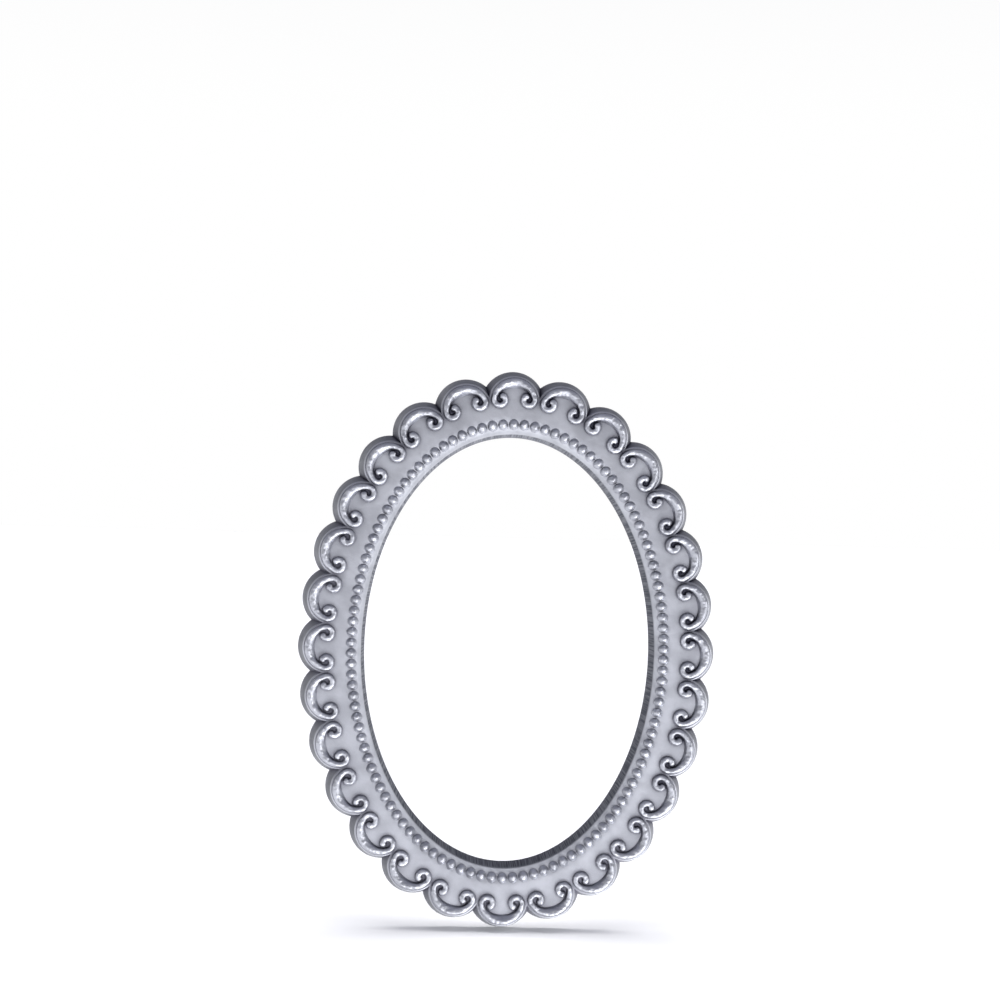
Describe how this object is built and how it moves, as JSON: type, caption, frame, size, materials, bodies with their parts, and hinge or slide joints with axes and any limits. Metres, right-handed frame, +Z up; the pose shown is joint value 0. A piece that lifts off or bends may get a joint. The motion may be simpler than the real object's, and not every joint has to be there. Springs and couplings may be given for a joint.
{
  "type": "magnetic photo frame",
  "caption": "Oval silver photo frame with a scalloped border of C-scrolls, a ring of beads and an open window, held on steel by disc magnets glued into its flat back.",
  "frame": {"origin": "middle of the window, on the flat back face", "axes": "+Z up, +X to the right as seen from the front, front faces -Y, back face on the XZ plane"},
  "size_m": [0.075, 0.0063, 0.1],
  "materials": {
    "silver_casting": "satin silver paint over cast resin",
    "nickel_magnet": "bright nickel plate",
    "glue": "clear yellowish epoxy"
  },
  "bodies": {
    "root": {"frame_casting": "silver_casting", "magnet_top_right": "nickel_magnet", "magnet_top_left": "nickel_magnet", "magnet_bottom_left": "nickel_magnet", "magnet_bottom_right": "nickel_magnet", "glue_bed_top_right": "glue", "glue_bed_top_left": "glue", "glue_bed_bottom_left": "glue", "glue_bed_bottom_right": "glue"}
  },
  "joints": []
}
